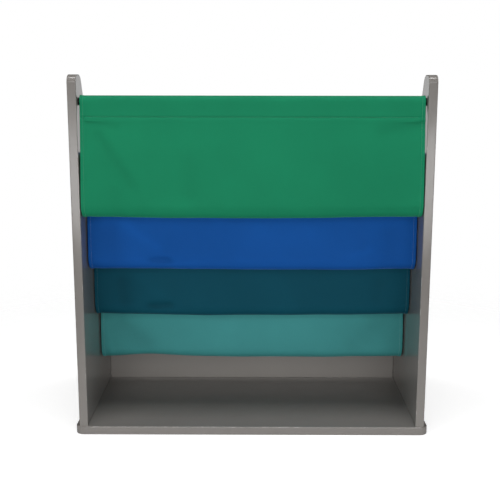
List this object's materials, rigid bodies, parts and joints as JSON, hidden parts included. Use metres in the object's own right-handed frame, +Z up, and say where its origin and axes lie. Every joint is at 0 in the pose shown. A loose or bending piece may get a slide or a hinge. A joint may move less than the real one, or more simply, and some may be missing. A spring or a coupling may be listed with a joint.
{
  "type": "sling bookshelf",
  "caption": "Low children's bookshelf: cloth slings hung one below the other on tubes between two tapered side panels, with a base plate and a low front lip for larger books.",
  "frame": {"origin": "on the floor, under the middle of the base plate", "axes": "+Z up, +Y towards the side where the books go in, +X to the right when the shelf is seen from behind"},
  "size_m": [0.62, 0.282, 0.622],
  "materials": {
    "board_paint": "fibreboard with a satin warm grey lacquer on faces and edges",
    "tube_black": "thin steel tube, black powder coat, semi-gloss",
    "plug_nylon": "moulded black nylon",
    "screw_zinc": "zinc-plated steel",
    "dowel_beech": "plain beech, ribbed",
    "green_cloth": "heavy plain-woven polyester canvas, slight sheen",
    "blue_cloth": "heavy plain-woven polyester canvas, slight sheen",
    "teal_cloth": "heavy plain-woven polyester canvas, slight sheen",
    "aqua_cloth": "heavy plain-woven polyester canvas, slight sheen"
  },
  "bodies": {
    "root": {"base_plate": "board_paint", "side_panel_left": "board_paint", "side_panel_right": "board_paint", "front_lip": "board_paint", "rear_tube_1": "tube_black", "front_tube_1": "tube_black", "green_sling": "green_cloth", "rear_tube_2": "tube_black", "front_tube_2": "tube_black", "blue_sling": "blue_cloth", "rear_tube_3": "tube_black", "front_tube_3": "tube_black", "teal_sling": "teal_cloth", "rear_tube_4": "tube_black", "front_tube_4": "tube_black", "aqua_sling": "aqua_cloth", "rear_plug_1_left": "plug_nylon", "rear_screw_1_left": "screw_zinc", "front_plug_1_left": "plug_nylon", "front_screw_1_left": "screw_zinc", "rear_plug_2_left": "plug_nylon", "rear_screw_2_left": "screw_zinc", "front_plug_2_left": "plug_nylon", "front_screw_2_left": "screw_zinc", "rear_plug_3_left": "plug_nylon", "rear_screw_3_left": "screw_zinc", "front_plug_3_left": "plug_nylon", "front_screw_3_left": "screw_zinc", "rear_plug_4_left": "plug_nylon", "rear_screw_4_left": "screw_zinc", "front_plug_4_left": "plug_nylon", "front_screw_4_left": "screw_zinc", "base_screw_1_left": "screw_zinc", "base_screw_2_left": "screw_zinc", "base_dowel_left": "dowel_beech", "lip_screw_left": "screw_zinc", "lip_dowel_left": "dowel_beech", "rear_plug_1_right": "plug_nylon", "rear_screw_1_right": "screw_zinc", "front_plug_1_right": "plug_nylon", "front_screw_1_right": "screw_zinc", "rear_plug_2_right": "plug_nylon", "rear_screw_2_right": "screw_zinc", "front_plug_2_right": "plug_nylon", "front_screw_2_right": "screw_zinc", "rear_plug_3_right": "plug_nylon", "rear_screw_3_right": "screw_zinc", "front_plug_3_right": "plug_nylon", "front_screw_3_right": "screw_zinc", "rear_plug_4_right": "plug_nylon", "rear_screw_4_right": "screw_zinc", "front_plug_4_right": "plug_nylon", "front_screw_4_right": "screw_zinc", "base_screw_1_right": "screw_zinc", "base_screw_2_right": "screw_zinc", "base_dowel_right": "dowel_beech", "lip_screw_right": "screw_zinc", "lip_dowel_right": "dowel_beech"}
  },
  "joints": []
}
